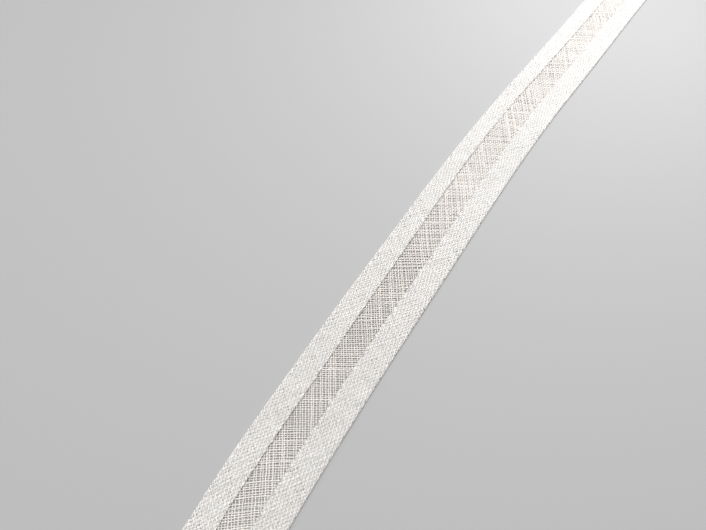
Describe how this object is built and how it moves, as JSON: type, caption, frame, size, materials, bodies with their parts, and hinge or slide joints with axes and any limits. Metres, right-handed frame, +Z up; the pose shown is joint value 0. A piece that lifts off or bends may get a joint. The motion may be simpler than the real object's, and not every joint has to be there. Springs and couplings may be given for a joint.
{
  "type": "length of folded bias tape",
  "caption": "Cut length of white cotton single-fold bias tape, lying flat with its folded hems on top of a single-layer middle band.",
  "frame": {"origin": "middle of the tape's underside, on the surface that it lies on", "axes": "+Y along the tape, +Z up through its thickness, +X to the tape's right"},
  "size_m": [0.0227, 0.2293, 0.0026],
  "materials": {
    "cotton": "matt open plain weave"
  },
  "bodies": {
    "root": {"tape": "cotton"}
  },
  "joints": []
}
